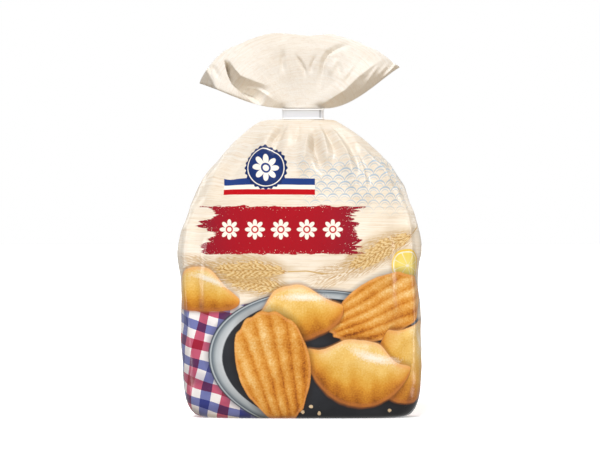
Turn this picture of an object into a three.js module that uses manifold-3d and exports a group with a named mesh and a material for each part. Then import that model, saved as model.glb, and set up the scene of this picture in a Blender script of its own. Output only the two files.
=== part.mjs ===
// Film bag of small cakes, gathered above its filling and shut by a plastic band.
//
// Millimetres, +Z up, front towards -Y, origin in the middle of the flat base. The bag is one
// piece of film: a filled body, a neck, and a ruffle that fans out above the band and is open
// at the top. The body is solid, because the printed film hides what is in it.

import * as THREE from "three";
import { mergeVertices } from "three/addons/utils/BufferGeometryUtils.js";
import Module from "manifold-3d";

// Band round the neck: a strip with a raised rim along its two long edges.
const BAND_WIDTH = 31.4;
const BAND_HEIGHT = 7.8;
const BAND_DEPTH = 10.8;
const BAND_WALL = 0.9;
const BAND_CORNER = 3.4;
const RIM_HEIGHT = 1.1;
const RIM_RELIEF = 0.5;
const NECK_X = 2.2; // the neck is gathered a little to the right of the middle

// Heights of the bag.
const SHOULDER_TOP = 219.4;
const BAND_Z = 219.8;
const RUFFLE_Z = BAND_Z + BAND_HEIGHT + 0.4;

// Gathered film inside the band, whose section is a superellipse of this power.
const NECK_HALF_WIDTH = 14;
const NECK_HALF_DEPTH = 3.7;
const NECK_POWER = 2.2;

// Body sections, from the base to the neck: height, reach to the left and to the right,
// half depth, and the power of the superellipse (2 is an ellipse, more is squarer).
const SECTIONS = [
  [0, 70, 74, 24, 3.2],
  [2.6, 78, 82, 28.4, 3.2],
  [12, 83.8, 87.2, 31.6, 3.2],
  [30, 86.2, 89.3, 33.6, 3.0],
  [60, 88.8, 90.4, 34.6, 2.8],
  [82, 88.3, 89.8, 34.0, 2.7],
  [97, 87.2, 87.3, 33.2, 2.7],
  [112, 89.2, 87.6, 33.6, 2.7],
  [124, 90.4, 89.8, 34.0, 2.6],
  [142, 86.8, 87.6, 33.0, 2.5],
  [160, 80.2, 81.2, 30.5, 2.4],
  [178, 70.5, 72.4, 26.5, 2.3],
  [196, 54.8, 57.4, 20.5, 2.2],
  [209, 42, 41.5, 14.5, 2.2],
  [217, 32, 29.5, 9.5, 2.2],
  [219.2, 24, 24.5, 6.5, 2.2],
  [SHOULDER_TOP, NECK_HALF_WIDTH - NECK_X, NECK_HALF_WIDTH + NECK_X, NECK_HALF_DEPTH, NECK_POWER],
];

// Ruffle: film fanned out of the neck in the plane of the front.
const FAN_LEFT = THREE.MathUtils.degToRad(163.4);
const FAN_RIGHT = THREE.MathUtils.degToRad(27.8);
const RUFFLE_MIDDLE = 54.4; // film above the band, in the middle
const RUFFLE_ENDS = 9.1; // and how much more at the two tips
const RUFFLE_LEFT_SWELL = 4.6;
const DROOP_LEFT = 19;
const DROOP_RIGHT = 35;
const PUFF_MIDDLE = 10; // how far the front and the back each billow from the middle plane
const PUFF_ENDS = 14; // and how far they do towards the two tips
const PUFF_LOW = 0.28; // in the middle the film stands straight this far up and billows above
const PUFF_HIGH = 0.72;
const PUFF_PEAK = 0.62; // how far up the film the ends billow most
const LIP = 1.3; // wall of the ruffle
const MOUTH_REACH = 0.94; // the mouth stops short of the two tips
const MOUTH_FLOOR = 0.2; // and this far up the film
const MOUTH_DIP = 2;

// Shoulder pleats that run into the neck.
const PLEATS = 13;
const PLEAT_DEPTH = 0.07;
const PLEAT_FROM = 150;
const PLEAT_DEEPEST = 212;
const PLEAT_PHASE = 0.9; // no valley at the very side

// Folds of the ruffle. u runs from -1 at the left tip to 1 at the right tip and s from 0 at
// the band to 1 at the free edge. The line of a fold goes from [u, s] to [u, s].
const FRONT_FOLDS = [
  { from: [-0.93, 0.3], to: [-0.78, 1.0], width: 0.11, push: 9 }, // deep valley beside the left flap
  { from: [-1.0, 0.5], to: [-0.86, 1.0], width: 0.1, push: -4 }, // the flap itself
  { from: [0.82, 0.25], to: [0.83, 0.9], width: 0.14, push: -3.2 }, // ridge over the right underside
  { from: [0.35, 0.38], to: [0.4, 0.92], width: 0.07, push: 3.2 }, // curved valley right of the middle
  { from: [0.1, 0.4], to: [0.02, 0.72], width: 0.05, push: 2.2 }, // puckers in the middle
  { from: [-0.22, 0.45], to: [-0.2, 0.75], width: 0.09, push: 2 },
  { from: [-0.45, 0.35], to: [-0.42, 0.8], width: 0.12, push: -1.6 },
];
const BACK_FOLDS = [
  { from: [-0.6, 0.2], to: [-0.72, 1.0], width: 0.1, push: 5 },
  { from: [-0.3, 0.3], to: [-0.3, 0.95], width: 0.1, push: -2.4 },
  { from: [0.05, 0.25], to: [0.0, 1.0], width: 0.09, push: 3.4 },
  { from: [0.5, 0.2], to: [0.62, 1.0], width: 0.1, push: 4.4 },
  { from: [0.8, 0.3], to: [0.84, 1.0], width: 0.1, push: -2.4 },
];

const AROUND = 96;
const BODY_STEPS = 27;
const RUFFLE_STEPS = 12;
const MOUTH_STEPS = 8;

const { smoothstep } = THREE.MathUtils;
const bump = (distance, width) => Math.exp(-((distance / width) ** 2));
const signedPower = (value, power) => Math.sign(value) * Math.abs(value) ** power;

// A smooth curve through the rows of SECTIONS, by row number.
const sectionCurve = new THREE.CubicInterpolant(
  SECTIONS.map((_, row) => row),
  SECTIONS.flat(),
  SECTIONS[0].length,
);

// A point of the body's film at this row and this turn, which is 0 at the right-hand side
// and a quarter turn at the back.
function bodyPoint(row, turn) {
  const [z, left, right, halfDepth, power] = sectionCurve.evaluate(row);
  const c = Math.cos(turn);
  const gather = smoothstep(z, PLEAT_FROM, PLEAT_DEEPEST) * (1 - smoothstep(z, PLEAT_DEEPEST, SHOULDER_TOP));
  const pleat = 1 - PLEAT_DEPTH * gather * (0.5 + 0.5 * Math.cos(PLEATS * turn + PLEAT_PHASE));
  return new THREE.Vector3(
    (c > 0 ? right : left) * signedPower(c, 2 / power) * pleat,
    halfDepth * signedPower(Math.sin(turn), 2 / power) * pleat,
    z,
  );
}

// How far the film is pushed towards the middle plane by these folds.
function foldPush(folds, u, s) {
  let push = 0;
  for (const { from, to, width, push: depth } of folds) {
    const along = THREE.MathUtils.clamp((s - from[1]) / (to[1] - from[1]), 0, 1);
    const line = from[0] + (to[0] - from[0]) * along;
    const fade = smoothstep(s, from[1] - 0.15, from[1] + 0.1) * (1 - smoothstep(s, to[1], to[1] + 0.15));
    push += depth * fade * bump(u - line, width);
  }
  return push;
}

// A point of the ruffle's film: u across the fan, s up the film, side -1 front or 1 back.
function rufflePoint(u, s, side) {
  const turn = (side * Math.PI * (1 - u)) / 2;
  const angle = THREE.MathUtils.mapLinear(u, -1, 1, FAN_LEFT, FAN_RIGHT);
  const film = RUFFLE_MIDDLE + RUFFLE_ENDS * u * u + RUFFLE_LEFT_SWELL * bump(u + 0.6, 0.35);
  const droop = (u < 0 ? DROOP_LEFT : DROOP_RIGHT) * Math.abs(u) ** 3 * s * (1 - s) ** 1.6;
  const middle = 0.2 * s + 0.9 * smoothstep(s, PUFF_LOW, PUFF_HIGH) * (1 - 0.3 * smoothstep(s, 0.75, 1.1));
  const ends = Math.sin(((s / PUFF_PEAK) ** 0.75 * Math.PI) / 2);
  const puff = THREE.MathUtils.lerp(PUFF_MIDDLE * middle, PUFF_ENDS * ends, smoothstep(Math.abs(u), 0.2, 0.75));
  const pinch = u < 0 ? (1 - u ** 4) ** 0.4 : (1 - u ** 3) ** 0.6; // the left tip is the blunter one
  const billow = puff * pinch * smoothstep(s, 0, 0.12);
  const narrow = Math.min(1, 3 * (1 - Math.abs(u)));
  const push = foldPush(side < 0 ? FRONT_FOLDS : BACK_FOLDS, u, s) * narrow;
  return new THREE.Vector3(
    NECK_X + NECK_HALF_WIDTH * signedPower(Math.cos(turn), 2 / NECK_POWER) + film * s * Math.cos(angle),
    NECK_HALF_DEPTH * signedPower(Math.sin(turn), 2 / NECK_POWER) + side * (billow - push),
    RUFFLE_Z + film * s * Math.sin(angle) - droop,
  );
}

// A closed skin over a stack of rings, with a fan to a point at each end.
function skin(rings, first, last) {
  const count = rings[0].length;
  const points = [first, ...rings.flat(), last];
  const lastPoint = points.length - 1;
  const faces = [];
  for (let i = 0; i < count; i++) {
    const next = (i + 1) % count;
    faces.push(0, 1 + next, 1 + i);
    for (let r = 0; r + 1 < rings.length; r++) {
      const low = 1 + r * count;
      const high = low + count;
      faces.push(low + i, low + next, high + next, low + i, high + next, high + i);
    }
    const top = lastPoint - count;
    faces.push(top + i, top + next, lastPoint);
  }
  const geometry = new THREE.BufferGeometry().setFromPoints(points);
  geometry.setIndex(faces);
  geometry.computeVertexNormals();
  return geometry;
}

// The turns of a ring, once round from the right-hand side by the back.
const TURNS = Array.from({ length: AROUND }, (_, i) => (2 * Math.PI * i) / AROUND);

// A ring of the ruffle at s, for the outside or for the inside of the mouth.
function ruffleRing(s, inside) {
  return TURNS.map((turn) => {
    const side = turn < Math.PI ? 1 : -1;
    const u = (turn < Math.PI ? 1 - (2 * turn) / Math.PI : (2 * turn) / Math.PI - 3) * (inside ? MOUTH_REACH : 1);
    const point = rufflePoint(u, s, side);
    if (inside) point.y -= side * LIP;
    return point;
  });
}

function bag() {
  const lastRow = SECTIONS.length - 1;
  const rings = [];
  for (let i = 0; i <= BODY_STEPS; i++) {
    rings.push(TURNS.map((turn) => bodyPoint((lastRow * i) / BODY_STEPS, turn)));
  }
  for (let i = 0; i <= RUFFLE_STEPS; i++) rings.push(ruffleRing(i / RUFFLE_STEPS, false));
  for (let i = 0; i <= MOUTH_STEPS; i++) {
    rings.push(ruffleRing(THREE.MathUtils.lerp(1, MOUTH_FLOOR, i / MOUTH_STEPS), true));
  }
  const mouthFloor = rufflePoint(0, MOUTH_FLOOR, -1).setY(0);
  mouthFloor.z -= MOUTH_DIP;
  return skin(rings, new THREE.Vector3(0, 0, 0), mouthFloor);
}

// Path round a flat loop with round corners, drawn on a Shape or on the Path of a hole.
function loopPath(path, halfWidth, halfDepth, corner) {
  const x = halfWidth - corner;
  const y = halfDepth - corner;
  path.absarc(x, -y, corner, -Math.PI / 2, 0, false);
  path.absarc(x, y, corner, 0, Math.PI / 2, false);
  path.absarc(-x, y, corner, Math.PI / 2, Math.PI, false);
  path.absarc(-x, -y, corner, Math.PI, (3 * Math.PI) / 2, false);
  path.closePath();
  return path;
}

// One level of the band, from z to z + height, whose outside stands out by relief.
function bandLevel(relief, z, height) {
  const loop = (path, inset) =>
    loopPath(path, BAND_WIDTH / 2 - inset, BAND_DEPTH / 2 - inset, BAND_CORNER - inset);
  const outline = loop(new THREE.Shape(), RIM_RELIEF - relief);
  outline.holes.push(loop(new THREE.Path(), RIM_RELIEF + BAND_WALL));
  const level = new THREE.ExtrudeGeometry(outline, { depth: height, bevelEnabled: false, curveSegments: 8 });
  return level.translate(NECK_X, 0, z);
}

const wasm = await Module();
wasm.setup();

// A closed three.js geometry as a manifold-3d solid, and back.
function toSolid(geometry) {
  const bare = geometry.clone();
  bare.deleteAttribute("normal");
  bare.deleteAttribute("uv");
  const merged = mergeVertices(bare, 1e-4);
  return new wasm.Manifold(
    new wasm.Mesh({
      numProp: 3,
      vertProperties: merged.attributes.position.array,
      triVerts: new Uint32Array(merged.index.array),
    }),
  );
}

function toGeometry(solid) {
  const mesh = solid.getMesh();
  const geometry = new THREE.BufferGeometry();
  geometry.setAttribute("position", new THREE.BufferAttribute(mesh.vertProperties, 3));
  geometry.setIndex(new THREE.BufferAttribute(mesh.triVerts, 1));
  geometry.computeVertexNormals();
  return geometry;
}

function band() {
  const strip = toSolid(bandLevel(0, BAND_Z, BAND_HEIGHT));
  const lowRim = toSolid(bandLevel(RIM_RELIEF, BAND_Z, RIM_HEIGHT));
  const highRim = toSolid(bandLevel(RIM_RELIEF, BAND_Z + BAND_HEIGHT - RIM_HEIGHT, RIM_HEIGHT));
  return toGeometry(strip.add(lowRim).add(highRim));
}

const part = (name, geometry, color, roughness) => {
  const mesh = new THREE.Mesh(geometry, new THREE.MeshStandardMaterial({ color, roughness, metalness: 0 }));
  mesh.name = name;
  return mesh;
};

const model = new THREE.Group();
model.add(part("bag", bag(), 0xf6ead6, 0.35));
model.add(part("band", band(), 0xf2f3f4, 0.4));

export default model;
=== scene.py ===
# Film bag of small cakes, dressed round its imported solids: a body of printed film, the ruffle
# above its neck, a fin seal up the back and a plastic band. Metres, +Z up, front towards -Y.

import math

import bpy
import numpy as np
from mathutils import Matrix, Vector, noise


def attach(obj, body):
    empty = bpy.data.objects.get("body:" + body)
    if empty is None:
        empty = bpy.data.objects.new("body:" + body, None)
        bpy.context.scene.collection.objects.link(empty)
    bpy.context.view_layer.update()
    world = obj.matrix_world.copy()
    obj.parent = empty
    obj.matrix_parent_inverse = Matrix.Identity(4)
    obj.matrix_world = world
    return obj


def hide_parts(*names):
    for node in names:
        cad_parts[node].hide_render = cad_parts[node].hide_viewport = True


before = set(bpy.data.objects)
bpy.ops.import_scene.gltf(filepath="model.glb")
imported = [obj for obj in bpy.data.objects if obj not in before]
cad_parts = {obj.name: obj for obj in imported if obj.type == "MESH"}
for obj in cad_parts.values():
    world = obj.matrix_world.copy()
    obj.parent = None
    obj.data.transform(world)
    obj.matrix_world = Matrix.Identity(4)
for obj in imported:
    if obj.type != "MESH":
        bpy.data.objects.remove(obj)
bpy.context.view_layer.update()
for thing in bpy.context.selected_objects:
    thing.select_set(False)


# ---- Film body ---------------------------------------------------------------------------
# The body is thin printed plastic film with a gloss. It comes as a flat sheet, is rolled into
# a tube with a seal up the back, closed flat at the base, filled with cakes and gathered in
# pleats to the neck.

MM = 0.001
BODY_COLUMNS = 340
BODY_ROWS = 168
BASE_ROWS = 9
NECK_ROWS = 5
SHOULDER_TOP = 219.7
NECK_TOP = 229.4
NECK_X = 2.2
NECK_HALF_WIDTH = 14
NECK_HALF_DEPTH = 3.7
NECK_POWER = 2.2
NECK_CLOSING = 0.97
BASE_DRAW_IN = 0.06
# How much of the print goes under the base and up into the neck.
PRINT_UNDER_BASE = 24
PRINT_IN_NECK = 12

# Height, reach to the left and to the right, half depth, and the power of the superellipse.
SECTIONS = np.array([
    [0, 70, 74, 24, 3.2],
    [2.6, 78, 82, 28.4, 3.2],
    [12, 83.8, 87.2, 31.6, 3.2],
    [30, 86.2, 89.3, 33.6, 3],
    [60, 88.8, 90.4, 34.6, 2.8],
    [82, 88.3, 89.8, 34, 2.7],
    [97, 87.2, 87.3, 33.2, 2.7],
    [112, 89.2, 87.6, 33.6, 2.7],
    [124, 90.4, 89.8, 34, 2.6],
    [142, 86.8, 87.6, 33, 2.5],
    [160, 80.2, 81.2, 30.5, 2.4],
    [178, 70.5, 72.4, 26.5, 2.3],
    [196, 54.8, 57.4, 20.5, 2.2],
    [209, 42, 41.5, 14.5, 2.2],
    [217, 32, 29.5, 9.5, 2.2],
    [219.4, 24, 24.5, 6.5, 2.2],
    [SHOULDER_TOP, NECK_HALF_WIDTH - NECK_X, NECK_HALF_WIDTH + NECK_X, NECK_HALF_DEPTH, NECK_POWER],
])


def section_at(row):
    """The smooth section at a row number between those of SECTIONS."""
    low = min(int(row), len(SECTIONS) - 2)
    t = row - low
    before = SECTIONS[max(low - 1, 0)]
    start, end = SECTIONS[low], SECTIONS[low + 1]
    after = SECTIONS[min(low + 2, len(SECTIONS) - 1)]
    slope_in = (end - before) / 2 if low else end - start
    slope_out = (after - start) / 2 if low < len(SECTIONS) - 2 else end - start
    return (
        (2 * t**3 - 3 * t**2 + 1) * start
        + (t**3 - 2 * t**2 + t) * slope_in
        + (3 * t**2 - 2 * t**3) * end
        + (t**3 - t**2) * slope_out
    )


def smoothstep(value, low, high):
    """Rises softly from 0 to 1 between two values."""
    t = np.clip((value - low) / (high - low), 0, 1)
    return t * t * (3 - 2 * t)


def between(value, low, full, fading, high):
    """Rises softly to 1, stays there for a while and falls again."""
    return smoothstep(value, low, full) * (1 - smoothstep(value, fading, high))


def signed_power(value, power):
    return np.sign(value) * np.abs(value) ** power


def even_outline(left, right, depth, power, columns):
    """One ring of film from the back round the left, the front and the right: x, y and how
    far each point is along the film from the middle of the front."""
    fine_steps = 1440
    angle = np.linspace(-np.pi, np.pi, fine_steps + 1)
    reach = np.where(angle < 0, left, right)
    x = reach * signed_power(np.sin(angle), 2 / power)
    y = -depth * signed_power(np.cos(angle), 2 / power)
    length = np.concatenate([[0], np.cumsum(np.hypot(np.diff(x), np.diff(y)))])
    length -= length[fine_steps // 2]
    wanted = np.concatenate([
        np.linspace(length[0], 0, columns // 2, endpoint=False),
        np.linspace(0, length[-1], columns // 2 + 1),
    ])
    return np.interp(wanted, length, x), np.interp(wanted, length, y), wanted


FOLD_BLEND = 0.6
HARD_FOLD_POWER = 1.25


def crease(
    x, z, line, width, height, far_width=None, far_height=None, hard=True, ends=0.25, spread=(1, 1)
):
    """How far a fold along a line of x, z points lifts the film. The first width and height are
    on the right of the line as it runs, and the far ones on its left. A hard fold is bent
    sharply at its line, and a soft one is round. It fades over a share of its length at both
    ends. Spread is how much its widths grow from its start to its end."""
    best = np.full(x.shape, 1e9)
    side = np.ones(x.shape)
    along = np.zeros(x.shape)
    steps = [math.dist(a, b) for a, b in zip(line, line[1:])]
    done = 0
    for (ax, az), (bx, bz), step in zip(line, line[1:], steps):
        dx, dz = (bx - ax) / step, (bz - az) / step
        t = np.clip((x - ax) * dx + (z - az) * dz, 0, step)
        distance = np.hypot(x - ax - t * dx, z - az - t * dz)
        nearer = distance < best
        best = np.where(nearer, distance, best)
        side = np.where(nearer, (x - ax) * dz - (z - az) * dx, side)
        along = np.where(nearer, (done + t) / sum(steps), along)
        done += step
    right = smoothstep(side, -FOLD_BLEND, FOLD_BLEND)
    best = best / (spread[0] + (spread[1] - spread[0]) * along)
    folded = 0
    flanks = ((right, height, width), (1 - right, far_height or height, far_width or width))
    for share, high, wide in flanks:
        near = np.clip(1 - best / wide, 0, 1)
        folded = folded + share * high * (near**HARD_FOLD_POWER if hard else smoothstep(near, 0, 1))
    return folded * smoothstep(along, 0, ends) * smoothstep(1 - along, 0, ends)


def crumple(points, size, ridged):
    """Noise at these points, about from -1 to 1. Where ridged it has sharp creases."""
    flat = points.reshape(-1, 3) / size
    values = np.array([noise.noise(Vector(p)) for p in flat]).reshape(points.shape[:-1])
    return 1 - 3 * np.abs(values) if ridged else values


def outward(points):
    """Unit normals of a grid of points, by row and column."""
    across = np.gradient(points, axis=1)
    across[:, 0] = across[:, -1] = points[:, 1] - points[:, -2]
    normal = np.cross(across, np.gradient(points, axis=0))
    return normal / np.maximum(np.linalg.norm(normal, axis=2, keepdims=True), 1e-9)


# Pleats of the shoulder, as seen from the front and from behind. Each has its line, its width,
# its height as a share of the pleats' depth, and whether it is hard.
PLEAT_DEPTH = 2.7
PLEAT_ENDS = 0.4
FRONT_PLEATS = [
    ([(-11, 219), (-14, 213), (-20, 205), (-22, 194)], 4.5, -2, True),
    ([(-15, 218), (-23, 205), (-30, 190), (-38, 168)], 9, 1.3, True),
    ([(-7, 219), (-9, 206), (-11, 192), (-11, 178)], 7, 1.2, False),
    ([(9, 214), (5.5, 206), (3.6, 197), (2.6, 187), (2.6, 176)], 5.5, 2, True),
    ([(12.5, 215), (10.5, 207), (11.5, 197), (15, 186), (17, 176)], 5, -2.6, True),
    ([(-1, 218), (-1, 204), (-2, 184)], 7, 0.7, False),
    ([(14, 218), (16.5, 208), (19, 196), (21, 180)], 5, 1.6, True),
    ([(13, 219), (19, 212), (24, 203), (28, 190)], 4.5, -1.9, True),
    ([(15, 217), (26, 206), (33, 196), (38, 178), (42, 154)], 7, 1.7, True),
    ([(17, 217), (32, 206), (44, 192), (52, 170)], 7, -1.3, False),
    ([(22, 216), (44, 200), (60, 180), (73, 154)], 8, 1.5, True),
    ([(25, 214), (52, 196), (70, 168)], 6, -0.9, False),
    ([(-18, 216), (-36, 203), (-50, 184), (-60, 156)], 9, -1.2, False),
    ([(-22, 215), (-44, 199), (-62, 176), (-74, 148)], 8, 1.4, True),
    ([(-7, 218), (-13, 210), (-17.5, 199), (-21, 188)], 2.2, -0.7, True),
    ([(0, 216), (-1, 208), (-4, 199)], 2.2, -0.5, True),
    ([(17, 216), (26, 209), (34, 198)], 2.2, 0.6, True),
    ([(33, 212), (40, 199), (46, 183), (48, 162), (48, 146)], 4.4, 1.4, True),
    ([(52, 194), (61, 180), (68, 166)], 2.8, 1, True),
]
BACK_PLEATS = [
    ([(-12, 219), (-16, 204), (-19, 176)], 5.5, -2.2, True),
    ([(-7, 218), (-8, 200), (-9, 172)], 6, 1.4, False),
    ([(1, 219), (-2, 202), (-2, 176)], 5, -2, True),
    ([(6, 218), (8, 202), (9, 174)], 6.5, 1.4, False),
    ([(12, 219), (18, 203), (25, 176)], 6, -2.1, True),
    ([(16, 217), (28, 200), (40, 170)], 8, 1.5, True),
    ([(20, 216), (38, 200), (54, 172)], 8, -1.3, False),
    ([(-17, 217), (-29, 201), (-42, 172)], 7, 1.5, True),
    ([(-20, 216), (-40, 199), (-56, 170)], 8, -1.3, False),
]
# Soft upright folds where the front turns into the sides.
SIDE_FOLDS = [
    ([(-73, 176), (-82, 140), (-83, 100), (-80, 60), (-79, 24)], 6, 1, False),
    ([(-66, 160), (-74, 130), (-76, 96), (-74, 60)], 7, -0.8, False),
    ([(70, 178), (79, 146), (80, 112), (83, 70), (82, 26)], 6, 1, False),
    ([(64, 160), (72, 130), (73, 96), (75, 60)], 7, -0.8, False),
]

# How far the cakes push the film out, by bulges and by dimples between them, and how far slack
# film puckers above them. Each has its height and then its size.
BULGES = (1.5, 44)
DIMPLES = (0.35, 19)
SINK = 0.3
PUCKERS = (0.45, 13)
# Heights between which cakes fill the film, it is slack, it is taut again, and it is free to move.
FILLED = (4, 30, 150, 215)
SLACK = (110, 180)
TAUT = (192, 210)
TAUT_SHARE = 0.8
FREE = (0, 6, 216.5, SHOULDER_TOP)
SIDE_BLEND = 3

fine_rows = 400
body_rows = np.linspace(0, len(SECTIONS) - 1, fine_rows)
heights = np.array([section_at(row)[[0, 3]] for row in body_rows])
meridian = np.concatenate([[0], np.cumsum(np.hypot(*np.diff(heights, axis=0).T))])
wall_rows = BODY_ROWS - BASE_ROWS - NECK_ROWS
shoulder_row = BASE_ROWS + wall_rows
even_rows = np.interp(np.linspace(0, meridian[-1], wall_rows + 1), meridian, body_rows)

body = np.zeros((BODY_ROWS + 1, BODY_COLUMNS + 1, 3))
body_print = np.zeros((BODY_ROWS + 1, BODY_COLUMNS + 1, 2))
for i, row in enumerate(even_rows):
    z, left, right, depth, power = section_at(row)
    x, y, run = even_outline(left, right, depth, power, BODY_COLUMNS)
    body[BASE_ROWS + i] = np.stack([x, y, np.full_like(x, z)], axis=1)
    body_print[BASE_ROWS + i] = np.stack([run, np.full_like(x, z)], axis=1)
for i in range(BASE_ROWS):
    closed = 1 - i / BASE_ROWS
    body[i] = body[BASE_ROWS] * [1 - BASE_DRAW_IN * closed, 1 - closed, 1]
    body[i, :, 2] = 0
    body_print[i] = body_print[BASE_ROWS] - [0, closed * PRINT_UNDER_BASE]
for i in range(1, NECK_ROWS + 1):
    step = i / NECK_ROWS
    tied = NECK_CLOSING * (1 - max(step * 2 - 1, 0) ** 2)
    body[shoulder_row + i] = body[shoulder_row] * [1, tied, 1]
    body[shoulder_row + i, :, 2] += step * (NECK_TOP - SHOULDER_TOP)
    body_print[shoulder_row + i] = body_print[shoulder_row] + [0, step * PRINT_IN_NECK]

x, y, z = body[..., 0], body[..., 1], body[..., 2]
front = smoothstep(-y, -SIDE_BLEND, SIDE_BLEND)
lift = np.zeros(x.shape)
for line, width, height, hard in FRONT_PLEATS + SIDE_FOLDS:
    lift += front * crease(x, z, line, width, PLEAT_DEPTH * height, hard=hard, ends=PLEAT_ENDS)
for line, width, height, hard in BACK_PLEATS + SIDE_FOLDS:
    lift += (1 - front) * crease(x, z, line, width, PLEAT_DEPTH * height, hard=hard)
bulges = BULGES[0] * crumple(body, BULGES[1], False)
dimples = DIMPLES[0] * crumple(body, DIMPLES[1], True)
lift += between(z, *FILLED) * (bulges + dimples - SINK)
slack = smoothstep(z, *SLACK) * (1 - TAUT_SHARE * smoothstep(z, *TAUT))
puckers = crumple(body * [1, 1, 0.45], PUCKERS[1], True) - 0.4
lift += slack * PUCKERS[0] * puckers
lift *= between(z, *FREE)
body += outward(body) * lift[..., None]


def sheet(name, points, prints):
    """A flat sheet of film with its print laid out in millimetres, rolled to these points."""
    rows, columns = points.shape[0] - 1, points.shape[1] - 1
    bpy.ops.mesh.primitive_grid_add(x_subdivisions=columns, y_subdivisions=rows, size=1)
    film = bpy.context.object
    film.name = film.data.name = name
    places = np.empty(len(film.data.vertices) * 3)
    film.data.vertices.foreach_get("co", places)
    places = places.reshape(-1, 3)
    column = np.rint((places[:, 0] + 0.5) * columns).astype(int)
    row = np.rint((places[:, 1] + 0.5) * rows).astype(int)
    film.data.vertices.foreach_set("co", (points[row, column] * MM).ravel())
    corners = np.empty(len(film.data.loops), dtype=int)
    film.data.loops.foreach_get("vertex_index", corners)
    film.data.uv_layers[0].name = "print"
    film.data.uv_layers["print"].data.foreach_set("uv", prints[row[corners], column[corners]].ravel())
    bpy.ops.object.mode_set(mode="EDIT")
    bpy.ops.mesh.select_all(action="SELECT")
    bpy.ops.mesh.remove_doubles(threshold=0.01 * MM)
    bpy.ops.object.mode_set(mode="OBJECT")
    bpy.ops.object.shade_smooth()
    return film


film_body = sheet("film_body", body, body_print)
bpy.ops.object.select_all(action="DESELECT")


def ink(code):
    """A colour of the printer's chart, as linear light."""
    parts = [int(code[i : i + 2], 16) / 255 for i in (1, 3, 5)]
    return (*[p / 12.92 if p <= 0.04045 else ((p + 0.055) / 1.055) ** 2.4 for p in parts], 1)


def operator(operation):
    """One of Python's operators as a Math node, for a socket on its left and on its right."""

    def left(self, other):
        return self.math(operation, other)

    def right(self, other):
        return self.finish.node("ShaderNodeMath", {"operation": operation}, {0: other, 1: self})

    return left, right


class Socket:
    """An output of a node, on which Python's operators add Math nodes."""

    __add__, __radd__ = operator("ADD")
    __sub__, __rsub__ = operator("SUBTRACT")
    __mul__, __rmul__ = operator("MULTIPLY")
    __truediv__, __rtruediv__ = operator("DIVIDE")
    __pow__, __rpow__ = operator("POWER")

    def __init__(self, finish, output):
        self.finish = finish
        self.output = output

    def math(self, operation, *others, clamp=False):
        settings = {"operation": operation, "use_clamp": clamp}
        return self.finish.node("ShaderNodeMath", settings, dict(enumerate([self, *others])))

    def __abs__(self):
        return self.math("ABSOLUTE")

    def cosine(self):
        return self.math("COSINE")

    def part(self):
        return self.math("FRACT")

    def within(self, soft):
        """1 where this is above nothing and 0 below, with an edge this soft."""
        return self.math("MULTIPLY_ADD", 1 / soft, 0.5, clamp=True)


class Finish:
    """A material and what is needed to draw it."""

    def __init__(self, name):
        self.material = bpy.data.materials.new(name)
        self.material.use_nodes = True
        self.tree = self.material.node_tree
        self.tree.nodes.clear()

    def node(self, kind, settings, values, output=0):
        """Adds a node. Its values are sockets, numbers or codes of colours."""
        node = self.tree.nodes.new(kind)
        for key, value in settings.items():
            if key == "stops":
                ramp = node.color_ramp
                while len(ramp.elements) < len(value):
                    ramp.elements.new(1)
                for element, (place, colour) in zip(ramp.elements, value):
                    element.position = place
                    element.color = ink(colour)
            elif key == "steps":
                node.color_ramp.interpolation = value
            else:
                setattr(node, key, value)
        for key, value in values.items():
            if isinstance(value, Socket):
                self.tree.links.new(value.output, node.inputs[key])
            else:
                node.inputs[key].default_value = ink(value) if isinstance(value, str) else value
        return Socket(self, node.outputs[output]) if node.outputs else None

    def mix(self, under, over, mask, kind="MIX"):
        """One colour over another where the mask says."""
        settings = {"data_type": "RGBA", "blend_type": kind}
        return self.node("ShaderNodeMix", settings, {0: mask, 6: under, 7: over}, output=2)

    def print_place(self):
        return self.node("ShaderNodeUVMap", {"uv_map": "print"}, {})

    def ramp(self, value, stops, steps="LINEAR"):
        return self.node("ShaderNodeValToRGB", {"steps": steps, "stops": [*stops]}, {0: value})

    def frame(self, vector, place, turn=0, scale=(1, 1)):
        """The print's own millimetres seen from a place on it, turned and scaled."""
        values = {
            "Vector": vector,
            "Location": (*place, 0),
            "Rotation": (0, 0, math.radians(turn)),
            "Scale": (*scale, 1),
        }
        return self.node("ShaderNodeMapping", {"vector_type": "TEXTURE"}, values)

    def apart(self, vector, wanted=(0, 1)):
        return [self.node("ShaderNodeSeparateXYZ", {}, {0: vector}, output=i) for i in wanted]

    def length(self, vector):
        return self.node("ShaderNodeVectorMath", {"operation": "LENGTH"}, {0: vector}, output="Value")

    def noise(self, vector, scale, detail):
        return self.node("ShaderNodeTexNoise", {}, {"Vector": vector, "Scale": scale, "Detail": detail})

    def speckle(self, vector, scale, detail=2):
        """Noise from 0 to 1. The scale is in marks a millimetre, by direction."""
        stretched = self.frame(vector, (0, 0), 0, (1 / scale[0], 1 / scale[1]))
        return self.noise(stretched, 1, detail)

    def bump(self, height, strength, distance):
        values = {"Strength": strength, "Distance": distance, "Height": height}
        return self.node("ShaderNodeBump", {}, values)

    def surface(self, **values):
        """The Principled shader, the last node of the material."""
        named = {key.replace("_", " "): value for key, value in values.items()}
        shader = self.node("ShaderNodeBsdfPrincipled", {}, named)
        self.node("ShaderNodeOutputMaterial", {}, {"Surface": shader})
        return self.material


CREAM = "#F6EBD9"
CREAM_DEEP = "#EDDDC4"
CREAM_PALE = "#FBF5EA"
GRAIN_LINE = "#D6BD9C"
# A darker tint laid over the upper ground of the body: painted shade that evens out the brighter light on
# the shoulder.
PAINTED_TOP_SHADE = "#EEEFF2"
NAVY = "#1B3A7E"
NAVY_DEEP = "#10275C"
RED = "#BE0010"
RED_DEEP = "#8E1228"
SKY = "#8FB2CE"


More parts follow.
